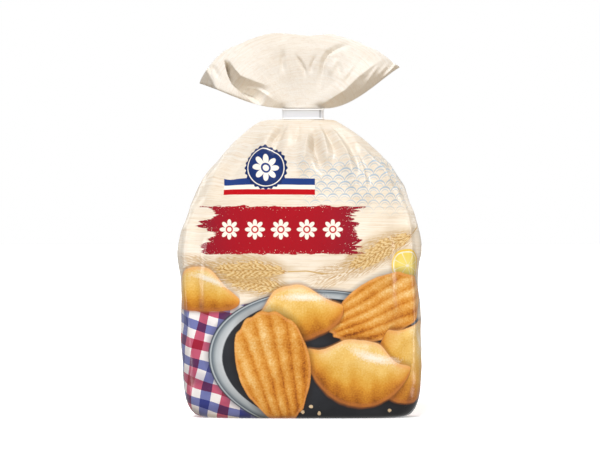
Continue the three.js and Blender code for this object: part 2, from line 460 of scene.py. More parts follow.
class Film(Finish):
    """Printed film, drawn layer by layer on the print's own millimetres."""

    def __init__(self, name, contrast=1, shade=PAINTED_TOP_SHADE):
        super().__init__(name)
        self.place = self.print_place()
        self.run, self.rise = self.apart(self.place)
        grain = self.spots((0.02, 0.75), 4)
        cloud = self.spots((0.012, 0.02))
        fibre = self.spots((0.12, 2.2), 3)
        tone = (grain * 0.5 + cloud * 0.35 + fibre * 0.15 - 0.5) * contrast + 0.5
        self.colour = self.ramp(tone, [(0.36, CREAM_DEEP), (0.5, CREAM), (0.64, CREAM_PALE)])
        # Towards the top the ground is multiplied by this tint. On the body this is painted shade,
        # evening out the brighter light on the shoulder. On the ruffle, which lies wholly above that
        # height, it is an even tint.
        self.colour = self.mix(self.colour, shade, (self.rise - 170).within(60), "MULTIPLY")
        vein = self.spots((0.014, 0.3), 3)
        self.paint(GRAIN_LINE, (0.007 - abs(vein - 0.5)).within(0.016) * (0.42 * contrast))
        crackle = self.spots((0.07, 0.45), 4)
        cracks = (0.012 - abs(crackle - 0.5)).within(0.024)
        self.paint(GRAIN_LINE, cracks * (self.rise - 160).within(80) * 0.4)

    def spots(self, scale, detail=2):
        return self.speckle(self.place, scale, detail)

    def paint(self, colour, mask):
        """Lays one more ink over the print where the mask says."""
        self.colour = self.mix(self.colour, colour, mask)

    def point(self, across, along):
        return self.node("ShaderNodeCombineXYZ", {}, {0: across, 1: along})

    def gingham(self):
        """A checked cloth along the foot of the bag: threads of two colours cross on white."""
        slant, warp_check, weft_check = -14, 32, 27
        top, top_wave, dip_at_dish = 80, 5, 50
        wave = self.spots((0.02, 0.03), 1) * 7
        across, along = self.apart(self.frame(self.place, (0, 0), slant))
        white, rose, blue = "#FAF8F8", "#CC5F7C", "#7880BA"
        threads = [(0, white), (0.25, rose), (0.5, white), (0.75, blue)]
        warp = self.ramp(((across + wave) / warp_check).part(), threads, "CONSTANT")
        weft = self.ramp(((along + wave) / weft_check).part(), threads, "CONSTANT")
        cloth = self.mix(warp, weft, 1, "MULTIPLY")
        folds = self.spots((0.03, 0.06))
        cloth = self.mix(cloth, "#8A84A8", (folds - 0.5) * 2.2, "MULTIPLY")
        behind_dish = (52 - abs(self.run - 42)).within(40)
        edge = top - self.rise + (self.run * 0.045).cosine() * top_wave - behind_dish * dip_at_dish
        self.paint(cloth, (edge + self.spots((0.03, 0.03)) * 8).within(0.8))

    def plate(self, place, half, turn):
        """A slate dish with a paler rim that catches the light on its left."""
        well = 0.88
        local = self.frame(self.place, place, turn, half)
        across, along = self.apart(local)
        reach = self.length(local)
        glow = (along * 0.5 - across * 0.9 - 0.1).within(1.2)
        steps = (0, 0.08, 0.45, 0.76, 0.86, 0.93, 1)
        shades = ("#23272D", "#7E878F", "#6B757D", "#3C4650", "#818C95", "#39434D", "#20262C")
        lights = ("#3E444A", "#C9CED2", "#B4BCC1", "#5F6B75", "#C2CACF", "#4F5A64", "#2B323A")
        band = (reach - well) / (1 - well)
        self.paint("#4F4A5C", ((1.02 - reach) * half[1]).within(3) * 0.6)
        dish = self.mix(self.ramp(band, zip(steps, shades)), self.ramp(band, zip(steps, lights)), glow)
        self.paint(dish, ((1 - reach) * half[1]).within(0.6))
        tone = self.spots((0.03, 0.05))
        slate = self.mix("#0E0F12", "#34363C", tone * 1.4 - 0.2 - across * 0.2)
        self.paint(slate, ((well - reach) * half[1]).within(0.8))

    def crust(self, tone, baked):
        """Baked colours, from a burnt edge to a pale crown."""
        return self.ramp(tone, [(i / (len(baked) - 1), code) for i, code in enumerate(baked)])

    def shell_cake(self, place, half, turn):
        """A cake with its ribbed side up: it narrows to its foot, below which the ribs meet."""
        ribs, half_spread, ribs_meet = 6, 0.34, 2.9
        wobble = self.spots((0.05, 0.05)) - 0.5
        across, along = self.apart(self.frame(self.place, place, turn, half))
        reach = self.length(self.point(across / (1 + along * 0.16), along))
        fan = across.math("ARCTAN2", along + ribs_meet) * (ribs / 2 / half_spread) + wobble * 0.4
        crest = (fan * (2 * math.pi)).cosine() * 0.5 + 0.5
        lit_flank = (fan * (2 * math.pi) + 1.3).cosine()
        rim = reach - crest * 0.03 + 0.03 + wobble * 0.05
        raised = (0.98 - rim).within(0.3)
        grain = self.spots((0.8, 0.8), 3)
        pores = self.spots((0.3, 0.3))
        baked = self.spots((0.06, 0.06))
        tone = 0.6 + (lit_flank * 0.09 + crest**0.4 * 0.32 - 0.25) * raised - across * 0.1 + along * 0.12
        tone = tone + (grain - 0.5) * 0.75 + (pores - 0.5) * 0.35 + (baked - 0.5) * 0.7
        tone = tone - (rim - 0.82).within(0.3) * 0.1
        colours = ["#7A3E0C", "#AE641A", "#CC822A", "#DA9942", "#E6B264", "#F3D092"]
        self.paint("#1E120A", ((1.05 - reach) * half[0]).within(5) * 0.6)
        self.paint(self.crust(tone, colours), ((1 - rim) * half[0]).within(0.6))
        self.paint("#F4B070", (0.5 - abs((0.97 - rim) * half[0])).within(1) * 0.4)

    def hump_cake(self, place, half, turn, curl=0.2):
        """A cake with its smooth side up: a pale hump between thin tips, on a browned shell.
        Curl is how far its tips stand up, or down where it is below nothing."""
        hump, hump_half_width = 0.8, 0.56
        wobble = self.spots((0.06, 0.06)) - 0.5
        across, along = self.apart(self.frame(self.place, place, turn, half))
        along = along - across * across * curl
        tips = (1 - across * across).math("MAXIMUM", 0)
        bell = 1 / (1 + (across / hump_half_width) ** 4)
        above = (bell * hump + 1 - hump) * tips**0.3 - along + wobble * 0.1
        below = along + tips**0.55 * 0.9 + wobble * 0.16
        past_tip = (abs(across) - 1).math("MAXIMUM", 0) * 9
        edge = (above.math("MINIMUM", below) - past_tip) * half[1]
        height = below / (above + below).math("MAXIMUM", 0.1)
        grain = self.spots((0.8, 0.8), 3)
        baked = self.spots((0.07, 0.05), 3)
        flute = (across * 17 + along * 2 + wobble * 6).cosine()
        tone = height * 0.76 + 0.17 + (grain - 0.5) * 0.4 + (baked - 0.5) * 0.6
        crown = self.length(self.point((across - 0.1) / 0.8, (along - 0.3) / 0.8))
        tone = tone + (0.62 - crown).within(1.2) * 0.14 - abs(across) ** 3 * 0.12
        shell = (0.3 - height + wobble * 0.3).within(0.16)
        tone = tone - shell * (0.06 + flute * 0.045)
        colours = ["#733B0B", "#B26C1C", "#D2912F", "#E1AE4C", "#EFC874", "#F9E1AC"]
        self.paint("#1E120A", (edge + half[1] * 0.07).within(5) * 0.55)
        self.paint(self.crust(tone, colours), edge.within(0.6))
        rim = self.mix("#A35A22", "#F2A560", (height - 0.2).within(0.6))
        self.paint(rim, (1.5 - abs(edge - 0.9)).within(2.6) * (0.5 + shell * 0.2))
        self.paint("#E0903F", (abs(across) - 0.72).within(0.4) * edge.within(0.6) * 0.35)
        gleam = 1 - self.length(self.point((across - 0.26) / 0.34, (along - 0.6 + across * 0.3) / 0.1))
        self.paint("#FFFBF0", (gleam + (grain - 0.5) * 1.6).within(1.4) * 0.8)

    def wheat_ear(self, place, turn, length, girth):
        """An ear of wheat: slanting grains on both sides of its stem, with a brush of awns."""
        local = self.frame(self.place, place, turn)
        strand = self.speckle(local, (0.12, 0.9), 3) - 0.5
        bend = self.speckle(local, (0.03, 0.03), 1) - 0.5
        along, across = self.apart(local)
        across = across + bend * 9
        off = abs(across)
        t = along / (length / 2)
        taper = (1 - t * t * t * t).math("MAXIMUM", 0) * girth
        shade = (taper + 3 - abs(across + 2.2)).within(5) * (1.2 - abs(t)).within(0.3)
        self.paint("#CDB48C", shade * 0.5)
        for lean, pitch in ((0.2, 1.5), (0.34, 2.3)):
            comb = (off * 0.97 - along * lean) / pitch + strand * 2.2
            awn = (0.2 - abs(comb.part() - 0.5)).within(0.2)
            spread = (taper * 0.7 + 4.6 + t * 1.6 - off).within(4)
            spread = spread * (1.9 - t).within(0.9) * (t + 0.9).within(0.4)
            self.paint("#C49A58", awn * spread * 0.55)
        grain = ((along - off * 1.7 + strand * 9) / 4.4).part()
        husk = [(0, "#A87433"), (0.2, "#D3A861"), (0.6, "#F2DCA9"), (1, "#C8984F")]
        kernel = (taper - off - grain * 1.6 + strand * 7).within(0.7) * (1.1 - abs(t)).within(0.1)
        self.paint(self.ramp(grain + strand, husk), kernel * 0.9)
        self.paint("#A87433", (0.25 - off).within(0.5) * (1 - abs(t)).within(0.1) * 0.6)
        stalk = (0.5 - off).within(0.6) * (-1 - t).within(0.05) * (t + 2.1).within(0.3)
        self.paint("#D0AC6C", stalk)

    def lemon(self, place, radius):
        """A round slice of lemon."""
        local = self.frame(self.place, place, 20, (radius, radius))
        across, along = self.apart(local)
        reach = self.length(local)
        wedge = abs((across.math("ARCTAN2", along) * (4 / math.pi)).part() - 0.5)
        self.paint("#C9A878", ((1.12 - reach) * radius).within(3) * 0.4)
        self.paint("#F0CB4A", ((1 - reach) * radius).within(0.5))
        self.paint("#FBF4D6", ((0.88 - reach) * radius).within(0.5))
        ring = (0.8 - reach).within(0.05) * (reach - 0.08).within(0.05)
        flesh = ring * ((0.46 - wedge) * reach).within(0.05)
        self.paint(self.mix("#F8E88A", "#F3D75A", reach), flesh)

    def crumbs(self, places):
        """Small lumps of sugar that lie about."""
        for place in places:
            reach = self.length(self.frame(self.place, place))
            lump = self.spots((0.6, 0.6), 1)
            self.paint("#D9C2A0", (0.7 + lump * 1.2 - reach).within(0.5))

    def blossom(self, local, size, colour, ground):
        """A small drawn flower, with a ring of its ground round its middle."""
        petals = 8
        across, along = self.apart(local)
        reach = self.length(local)
        lobes = abs((across.math("ARCTAN2", along) * (petals / 2)).cosine()) ** 0.7
        self.paint(colour, (size * (lobes * 0.6 + 0.4) - reach).within(0.35))
        self.paint(ground, (size * 0.07 - abs(reach - size * 0.3)).within(0.3))

    def brushed_field(self, place, half):
        """A field laid on with a dry brush, ragged at both ends."""
        across, along = self.apart(self.frame(self.place, place))
        stroke = self.spots((0.01, 0.13))
        bristle = self.spots((0.06, 0.55), 3)
        edge = self.spots((0.1, 0.4), 3)
        grit = self.spots((0.8, 1), 3)
        ends = half[0] + (stroke - 0.5) * 38 + (bristle - 0.5) * 22 - abs(across)
        sides = half[1] + (edge - 0.5) * 5 - abs(along)
        margin = ends.math("MINIMUM", sides * 2.5)
        worn = (5 - margin).within(12) * 0.15
        solid = margin.within(1) * (0.74 - worn - grit).within(0.05)
        towards_ends = (abs(across) / half[0]) ** 3 + (grit - 0.5) * 0.8
        self.paint(self.mix(RED, RED_DEEP, towards_ends.within(1.6) * 0.9), solid)

    def scales(self, place, half):
        """Rows of thin blue arcs that fade out to the edges of their field."""
        scale_width, row_height = 8.6, 4.6
        across, along = self.apart(self.frame(self.place, place))
        row = along / row_height
        shift = (row.math("FLOOR") * 0.5).part()
        arch = abs(((across / scale_width + shift).part() - 0.5) * 2)
        arc = (1 - arch * arch) ** 0.5
        inner = (1 - arch * arch * 2.6).math("MAXIMUM", 0) ** 0.5 * 0.6
        line = (0.1 - abs(row.part() - arc * 0.92)).within(0.12)
        second = (0.07 - abs(row.part() - inner * 0.92)).within(0.12)
        patchy = self.spots((0.05, 0.05))
        reach = self.length(self.point(across / half[0], along / half[1]))
        fade = (1.05 - reach + (patchy - 0.5) * 1.6).within(0.7)
        self.paint(SKY, line.math("MAXIMUM", second * 0.7) * fade * 0.8)

    def seal(self, place, radius):
        """A round seal with a thin ring and a flower, over three trim lines."""
        teeth, flower = 24, radius * 0.62
        half_line, line_middle = 34, 2
        local = self.frame(self.place, place)
        across, along = self.apart(local)
        for colour, height, weight in ((NAVY, -10, 2.4), (CREAM_PALE, -14, 1.6), (RED, -17.6, 2)):
            line = (weight - abs(along - height)).within(0.3)
            self.paint(colour, line * (half_line - abs(across - line_middle)).within(0.3))
        reach = self.length(local)
        lobes = (across.math("ARCTAN2", along) * teeth).cosine() * 0.55
        tone = self.mix(NAVY, NAVY_DEEP, reach / radius)
        self.paint(tone, (radius + lobes - reach).within(0.4))
        self.paint(CREAM_PALE, (0.35 - abs(reach - radius + 2.2)).within(0.3))
        self.blossom(local, flower, CREAM_PALE, NAVY)


film = Film("printed_film")
film.gingham()
film.scales((50, 174), (46, 17))
film.wheat_ear((-32, 99), 168, 50, 5.6)
film.wheat_ear((-36, 109), 178, 54, 5.6)
film.wheat_ear((60, 123), 207, 56, 6.2)
film.lemon((80, 112), 12)
film.plate((24, 40), (92, 54), -6)
film.hump_cake((-76, 94), (32, 17), -2, -0.42)
film.shell_cake((58, 80), (22, 40), -66)
film.hump_cake((-4, 76), (36, 22), 12, -0.1)
film.hump_cake((84, 40), (30, 34), -34)
film.hump_cake((42, 32), (40, 26), -10, 0.4)
film.shell_cake((-19, 38), (27, 42), 14)
film.crumbs([(8, 9), (2, 5), (14, 4), (66, 6)])
film.brushed_field((-16, 138), (56, 17.5))
for step in range(5):
    film.blossom(film.frame(film.place, (-52 + 19 * step, 138.5)), 7.4, CREAM_PALE, RED)
film.seal((-25, 183.5), 15.5)

wrinkles = film.noise(film.place, 0.16, 3)
fine = film.noise(film.place, 0.9, 2)
matt_neck = (film.rise - 203).within(26)
printed_film = film.surface(
    Base_Color=film.colour,
    Roughness=wrinkles * 0.12 + 0.19 + matt_neck * 0.22,
    Normal=film.bump(wrinkles + fine * 0.12, 0.22, 1.2 * MM),
    Specular_IOR_Level=0.3,
)
film_body.data.materials.append(printed_film)
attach(film_body, "root")


# ---- Back seam ---------------------------------------------------------------------------
# A fin seal: the two edges of the film are pressed together between hot ribbed bars up the
# middle of the back, and the fin is laid over flat to one side.

SEAM_WIDTH = 11
SEAM_COLUMNS = 22
SEAM_LIFT = 0.5
SEAM_WALL = 0.12
SEAM_TOP = 205
SEAM_NARROWS_FROM = 150
SEAM_NARROWING = 0.5
RIB_PITCH = 1.1

back_rows = [i for i in range(BASE_ROWS, shoulder_row) if body[i, 0, 2] < SEAM_TOP]
seam = np.zeros((len(back_rows), SEAM_COLUMNS + 1, 3))
seam_print = np.zeros((len(back_rows), SEAM_COLUMNS + 1, 2))
skin = body + outward(body) * SEAM_LIFT
for i, row in enumerate(back_rows):
    narrowing = SEAM_NARROWING * smoothstep(body[row, 0, 2], SEAM_NARROWS_FROM, SEAM_TOP)
    from_fold = SEAM_WIDTH * (1 - narrowing) * np.linspace(0, 1, SEAM_COLUMNS + 1)
    run = body_print[row, -1, 0] - from_fold
    for axis in range(3):
        seam[i, :, axis] = np.interp(run, body_print[row, :, 0], skin[row, :, axis])
    seam_print[i, :, 0] = from_fold
    seam_print[i, :, 1] = body_print[row, 0, 1]
height = seam[..., 2]
loose_edge = smoothstep(seam_print[..., 0], 2, SEAM_WIDTH)
seam[..., 2] = np.maximum(height, SEAM_LIFT)
seam += [0, 1, 0] * (loose_edge * (0.5 + 0.5 * np.sin(height / 9) * np.sin(height / 23)))[..., None]
back_seam = sheet("back_seam", seam[:, ::-1], seam_print[:, ::-1])

pressed = Finish("pressed_film")
place = pressed.print_place()
across, along = pressed.apart(place)
ribs = (along * (2 * math.pi / RIB_PITCH)).cosine() * (SEAM_WIDTH * 0.94 - across).within(0.4)
haze = pressed.speckle(place, (0.2, 0.08), 3)
pressed_film = pressed.surface(
    Base_Color=pressed.mix(CREAM, CREAM_PALE, haze + ribs * 0.25),
    Roughness=haze * 0.16 + 0.2,
    Normal=pressed.bump(ribs + haze, 0.6, 0.4 * MM),
    Specular_IOR_Level=0.45,
)
back_seam.data.materials.append(pressed_film)


def thicken(film, wall, inner_material):
    """Gives a sheet of film its wall, on the side away from the print."""
    solid = film.modifiers.new("wall", "SOLIDIFY")
    solid.thickness = wall * MM
    solid.offset = -1
    solid.material_offset = inner_material
    bpy.context.view_layer.objects.active = film
    bpy.ops.object.modifier_apply(modifier="wall")
    bpy.ops.object.select_all(action="DESELECT")


thicken(back_seam, SEAM_WALL, inner_material=0)
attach(back_seam, "root")


# ---- Ruffle ------------------------------------------------------------------------------
# The top of the same film, spread out above the band into a flat fan. It stands open, and its
# inside is unprinted white film. Front and back billow apart, with hard folds at both tips.

RUFFLE_COLUMNS = 520
RUFFLE_ROWS = 84
RUFFLE_Z = 228
FAN_LEFT = 163.4
FAN_RIGHT = 27.8
RUFFLE_MIDDLE = 54.4
RUFFLE_ENDS = 9.1
# Where across the fan the film is longer or shorter than that, over what width, and by how much.
EDGE_WAVES = [
    (-0.97, 0.09, 0.9), (-0.6, 0.35, 4.6), (-0.49, 0.08, -0.8), (-0.2, 0.14, 2),
    (0.1, 0.11, -1.3), (0.3, 0.08, 1), (1, 0.05, 1.6),
]
DROOP_LEFT = 19
DROOP_RIGHT = 35
PUFF_MIDDLE = 7.6
PUFF_ENDS = 14
PUFF_FLAP = 10
# The share of its rise at which the film stands out most.
FULLEST = 0.62
# Small creases and waves of the loose film, each with its height and then its size.
CREASES = (0.22, 12)
WAVES = (0.7, 27)
FILM_WALL = 0.25
PRINT_HALF_WIDTH = 107
PRINT_FOOT = 219

# The tuck at the left: the film dives behind a flap along this line, this deep, over these
# widths behind and in front of the line, and is drawn this far to the left and down.
TUCK = [
    (-56, 263.5), (-54.4, 259), (-52.7, 253), (-49.3, 246.4), (-44.6, 241.7), (-37.9, 236.9),
    (-28, 230),
]
TUCK_DEPTH = 22
TUCK_BEHIND, TUCK_IN_FRONT = 1.8, 12.5
TUCK_DRAW = (4, 3)
# The flap itself lies flat and faces up a little, out to a line where the tip turns back.
FLAP_DEPTH = 10.5
FLAP_SLOPE = 0.16
FLAP_TURN = 0.12
FLAP_MIDDLE = (-55, 250)
FLAP_BLEND = (-50, -34)
TIP_X = -75.5
TIP_SLOPE = 0.78
TIP_FOLD = [(-67.3, 255.7), (-63.4, 244.5)]
TIP_BEND = 0.5
TIP_TWIST = 0.7
# How far the lower edge of the flap leans forward, and how tightly the front and the back curl
# in to it.
EDGE_LEAN = 0.88
EDGE_CURL = (0.6, 4)
FOLD_ENDS = 0.4
# The most that a fold and the tuck may move the film, as a share of how far it stands out.
MOST_FOLD = 0.9
MOST_TUCK = 1.9
RIGHT_RIDGE = [(7, 225), (19.8, 232.8), (32.7, 241), (42.6, 250.6), (49.8, 256), (56, 260.6), (66, 267)]
MAIN_PUCKER = [(14.5, 238), (16.2, 252), (17.6, 261), (21, 267.5), (28, 271.5), (40, 276)]
# Folds of the front and of the back, as seen from their own side. Each has its line, its width
# and height on the right of the line and then on its left, and whether it is hard.
FRONT_FOLDS = [
    ([(-46, 240), (-39, 243.5), (-30, 241.5), (-18, 233)], 5, 2.2, 2.2, 2.2, True),
    ([(-67, 261), (-62.5, 256), (-59, 248)], 4, -1.4, 3, -1.4, True),
    (RIGHT_RIDGE, 11, 5, 9, 5, True),
    ([(38, 237), (52, 248), (62, 258)], 3, 0.6, 4, 0.6, True),
    ([(47, 244), (52, 251), (60, 262)], 2.4, 1.5, 2.4, 1.5, True),
    ([(56, 250), (62, 257), (66, 262)], 2.4, 1, 2.4, 1, True),
    ([(60, 249), (67, 256), (74, 264)], 1.8, 2.6, 1.8, 2.6, True),
    ([(30, 239), (36, 250), (41, 260)], 2.6, -0.9, 3, -0.9, True),
    ([(28, 246), (35, 253), (43, 264)], 3, 1.4, 4, 1.4, True),
    (MAIN_PUCKER, 2.4, -3.3, 3.8, -3.3, True),
    ([(22, 250), (23.5, 258), (28, 265)], 3.6, 1.6, 3.6, 1.6, False),
    ([(30, 250), (29, 256.6), (27.5, 263)], 2.6, -1, 2, -1, True),
    ([(4.4, 249), (3.4, 256), (0.6, 262), (-4, 268)], 1.8, -2.4, 2.4, -2.4, True),
    ([(8, 252), (8.4, 259), (12, 268)], 2.4, -1.6, 2.4, -1.6, True),
    ([(-12.5, 252), (-13, 262), (-12, 272)], 3.2, -1.8, 3.2, -1.8, False),
    ([(-23, 248), (-25, 258), (-22, 270)], 6, 0.5, 6, 0.5, False),
]
BACK_FOLDS = [
    ([(-60, 250), (-52, 262), (-46, 274)], 7, -5.5, 6, -5.5, True),
    ([(-30, 238), (-34, 255), (-33, 278)], 8, 3.4, 8, 3.4, True),
    ([(-18, 240), (-20, 256), (-17, 276)], 5.5, -4, 5, -4, True),
    ([(2, 242), (3, 258), (0, 280)], 7, 2.6, 7, 2.6, False),
    ([(14, 238), (18, 256), (24, 276)], 6, -4.4, 5, -4.4, True),
    ([(28, 238), (40, 254), (50, 272)], 8, 3.6, 8, 3.6, True),
    ([(42, 240), (54, 252), (66, 264)], 6, -3.6, 6, -3.6, True),
]

turn = np.linspace(-np.pi, np.pi, RUFFLE_COLUMNS + 1)[None, :]
rise = np.linspace(0, 1, RUFFLE_ROWS + 1)[:, None]
across = np.where(np.abs(turn) < np.pi / 2, turn / (np.pi / 2), np.sign(turn) * 2 - turn / (np.pi / 2))
side = np.where(np.abs(turn) < np.pi / 2, -1, 1)
fan = np.radians((FAN_LEFT + FAN_RIGHT) / 2 + (FAN_RIGHT - FAN_LEFT) / 2 * across)
film_up = RUFFLE_MIDDLE + RUFFLE_ENDS * across**2
for middle, width, longer in EDGE_WAVES:
    film_up += longer * np.exp(-(((across - middle) / width) ** 2))
droop = np.where(across < 0, DROOP_LEFT, DROOP_RIGHT) * np.abs(across) ** 3 * rise * (1 - rise) ** 1.6
x = NECK_X + NECK_HALF_WIDTH * signed_power(np.sin(turn), 2 / NECK_POWER) + film_up * rise * np.cos(fan)
z = RUFFLE_Z + film_up * rise * np.sin(fan) - droop
lift = np.zeros(x.shape)
for folds, where, mirror in ((FRONT_FOLDS, side < 0, 1), (BACK_FOLDS, side > 0, -1)):
    for line, *fold in folds:
        lift += where * crease(x * mirror, z, line, *fold, ends=FOLD_ENDS)
towards_tip = smoothstep(np.abs(across), 0.2, 0.75)
swell = smoothstep(rise, 0.1, 0.85) * (1 - 0.3 * smoothstep(rise, 0.75, 1.1))
middle_billow = PUFF_MIDDLE * (0.5 * rise + 0.6 * swell)
end_billow = PUFF_ENDS * np.sin((rise / FULLEST) ** 0.75 * np.pi / 2)
flap_billow = PUFF_FLAP * np.sin(rise / FULLEST * np.pi / 2)
from_neck = smoothstep(rise, 0, 0.12)
back_depth = (middle_billow + (end_billow - middle_billow) * towards_tip) * from_neck
end_billow = np.where(across < 0, flap_billow, end_billow)
front_depth = (middle_billow + (end_billow - middle_billow) * towards_tip) * from_neck
turned_back = np.maximum(TIP_SLOPE * (x - TIP_X), 0)
flat = FLAP_DEPTH + FLAP_SLOPE * (FLAP_MIDDLE[1] - z) + FLAP_TURN * (x - FLAP_MIDDLE[0])
flap = np.minimum(flat, turned_back)
front_depth += (flap - front_depth) * (1 - smoothstep(x, *FLAP_BLEND)) * smoothstep(rise, 0.35, 0.6)
from_edge = film_up * rise * np.sin((1 - np.abs(across)) * np.radians(FAN_LEFT - FAN_RIGHT) / 2)
edge_curl = np.where(side < 0, *EDGE_CURL)
pinch = np.where(across < 0, 1 - np.exp(-from_edge / edge_curl), (1 - np.abs(across) ** 3) ** 0.6)
billow = np.where(side < 0, front_depth, back_depth) * pinch
lean = EDGE_LEAN * front_depth * smoothstep(-across, 0.3, 0.7) * (1 - pinch)
flanks = (TUCK_BEHIND, TUCK_DEPTH, TUCK_IN_FRONT, TUCK_DEPTH)
tucked = crease(x, z, TUCK, *flanks, ends=0.22, spread=(0.25, 1.25)) * (side < 0)
tucked = np.minimum(tucked, MOST_TUCK * billow)
lift = np.clip(lift, -MOST_FOLD * billow, MOST_FOLD * billow)
y = -NECK_HALF_DEPTH * signed_power(np.cos(turn), 2 / NECK_POWER) + side * (billow + lift - tucked) - lean
(fold_x, fold_z), (foot_x, foot_z) = TIP_FOLD
past_fold = ((fold_x - x) * (fold_z - foot_z) + (z - fold_z) * (fold_x - foot_x)) / math.dist(*TIP_FOLD)
y = y + TIP_BEND * np.maximum(past_fold, 0)
y = y + TIP_TWIST * ((fold_z + foot_z) / 2 - z) * smoothstep(past_fold, -0.6, 1.4)
x = x - TUCK_DRAW[0] * (tucked / TUCK_DEPTH) ** 2
z = z - TUCK_DRAW[1] * (tucked / TUCK_DEPTH) ** 2
ruffle = np.stack([x, y, z + 0 * x], axis=2)
loose = smoothstep(rise, 0.12, 0.5) * smoothstep(1 - np.abs(across), 0, 0.28)
slack = CREASES[0] * crumple(ruffle, CREASES[1], True) + WAVES[0] * crumple(ruffle, WAVES[1], False)
ruffle += outward(ruffle) * (loose * slack)[..., None]
ruffle_print = np.stack([across * PRINT_HALF_WIDTH + 0 * x, PRINT_FOOT + film_up * rise], axis=2)

film_ruffle = sheet("film_ruffle", ruffle, ruffle_print)

plain = Film("ruffle_film", 0.8, "#F7F9FC")
plain.paint("#FFFFFF", 0.3)
crushed = plain.noise(plain.place, 0.2, 3)
ruffle_film = plain.surface(
    Base_Color=plain.colour,
    Roughness=crushed * 0.14 + 0.24,
    Normal=plain.bump(crushed, 0.25, 1.2 * MM),
    Specular_IOR_Level=0.3,
)
film_ruffle.data.materials.append(ruffle_film)

inside = Finish("unprinted_film")
place = inside.print_place()
milky = inside.speckle(place, (0.05, 0.09), 3)
unprinted_film = inside.surface(
    Base_Color=inside.mix("#EFE9DE", "#FBF8F2", milky),
    Roughness=milky * 0.14 + 0.26,
    Normal=inside.bump(milky, 0.25, 1.2 * MM),
    Specular_IOR_Level=0.4,
)
film_ruffle.data.materials.append(unprinted_film)

thicken(film_ruffle, FILM_WALL, inner_material=1)
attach(film_ruffle, "root")
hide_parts("bag")
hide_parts("bag")


# ---- Band --------------------------------------------------------------------------------
# A strip of white plastic with a raised rim along both edges, moulded, bent round the gathered
# neck and locked at one end by a narrow clasp.

BAND_Z = 219.8
BAND_WIDTH = 31.4
BAND_DEPTH = 10.8
BAND_HEIGHT = 7.8
BAND_WALL = 0.9
BAND_CORNER = 3.4
RIM_HEIGHT = 1.1
RIM_RELIEF = 0.5
CLASP_WIDTH = 0.4
CLASP_GROOVE = 1.5

bpy.ops.mesh.primitive_cube_add(
    size=1,
    location=(NECK_X * MM, 0, (BAND_Z + BAND_HEIGHT / 2) * MM),
    scale=((BAND_WIDTH - 2 * RIM_RELIEF) * MM, (BAND_DEPTH - 2 * RIM_RELIEF) * MM, BAND_HEIGHT * MM),
)
clip_band = bpy.context.object
clip_band.name = clip_band.data.name = "clip_band"
bpy.ops.object.transform_apply(location=True, rotation=False, scale=True)


def choose(thing, kind, wanted):
    """Selects the faces or edges of a mesh, now in edit mode, that a rule on their middle wants."""
    bpy.ops.object.mode_set(mode="OBJECT")
    for part in (*thing.data.vertices, *thing.data.edges, *thing.data.polygons):
        part.select = False
    for part in getattr(thing.data, kind):
        ends = [thing.data.vertices[i].co for i in part.vertices]
        middle = sum(ends, Vector()) / len(ends) / MM
        part.select = wanted(middle, part, ends)
    bpy.ops.object.mode_set(mode="EDIT")


bpy.ops.object.mode_set(mode="EDIT")
bpy.ops.mesh.select_mode(type="FACE")
choose(clip_band, "polygons", lambda middle, face, ends: abs(face.normal.z) > 0.9)
bpy.ops.mesh.delete(type="FACE")
bpy.ops.mesh.select_mode(type="EDGE")
choose(clip_band, "edges", lambda middle, edge, ends: abs(ends[0].z - ends[1].z) > MM)
bpy.ops.mesh.bevel(offset=BAND_CORNER * MM, segments=7, affect="EDGES")
rim_low, rim_high = BAND_Z + RIM_HEIGHT, BAND_Z + BAND_HEIGHT - RIM_HEIGHT
clasp_side = NECK_X + BAND_WIDTH / 2 - BAND_CORNER - CLASP_WIDTH
clasp_end = clasp_side + CLASP_GROOVE
for normal, cuts in (((0, 0, 1), (rim_low, rim_high)), ((1, 0, 0), (clasp_side, clasp_end))):
    for cut in cuts:
        bpy.ops.mesh.select_all(action="SELECT")
        bpy.ops.mesh.bisect(plane_co=[cut * MM * way for way in normal], plane_no=normal)
bpy.ops.mesh.select_mode(type="FACE")
choose(clip_band, "polygons", lambda middle, face, ends: not rim_low < middle.z < rim_high)
bpy.ops.mesh.extrude_region_shrink_fatten(TRANSFORM_OT_shrink_fatten={"value": RIM_RELIEF * MM})
choose(
    clip_band,
    "polygons",
    lambda middle, face, ends: clasp_side < middle.x < clasp_end
    and rim_low < middle.z < rim_high
    and abs(face.normal.y) > 0.9,
)
bpy.ops.mesh.extrude_region_shrink_fatten(TRANSFORM_OT_shrink_fatten={"value": -RIM_RELIEF * 0.8 * MM})
bpy.ops.object.mode_set(mode="OBJECT")
for kind, settings in (
    ("SOLIDIFY", {"thickness": BAND_WALL * MM, "offset": -1}),
    ("BEVEL", {"width": 0.22 * MM, "segments": 3, "limit_method": "ANGLE"}),
):
    step = clip_band.modifiers.new(kind.lower(), kind)
    for key, value in settings.items():
        setattr(step, key, value)
    bpy.ops.object.modifier_apply(modifier=step.name)
bpy.ops.object.shade_smooth_by_angle(angle=math.radians(40))

white = Finish("white_plastic")
place = white.node("ShaderNodeTexCoord", {}, {}, output="Object")
side, height = white.apart(place, (0, 2))
# The plastic is white on the rims. The recessed panel between them is painted light grey as shade, and
# the clasp's groove is painted darker grey as shadow.
rim = (abs(height / MM - BAND_Z - BAND_HEIGHT / 2) - BAND_HEIGHT / 2 + RIM_HEIGHT).within(0.3)
painted_groove_shadow = (CLASP_GROOVE / 2 - abs(side / MM - clasp_side - CLASP_GROOVE / 2)).within(0.3) * (1 - rim)
mottle = white.noise(place, 900, 3)
white_plastic = white.surface(
    Base_Color=white.mix(white.mix("#DCDEE2", "#FFFFFF", rim), "#B9BABD", painted_groove_shadow),
    Roughness=mottle * 0.12 + 0.3,
    Normal=white.bump(mottle, 0.15, 0.2 * MM),
    Specular_IOR_Level=0.4,
)
clip_band.data.materials.append(white_plastic)
bpy.ops.object.select_all(action="DESELECT")
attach(clip_band, "root")
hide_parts("band")


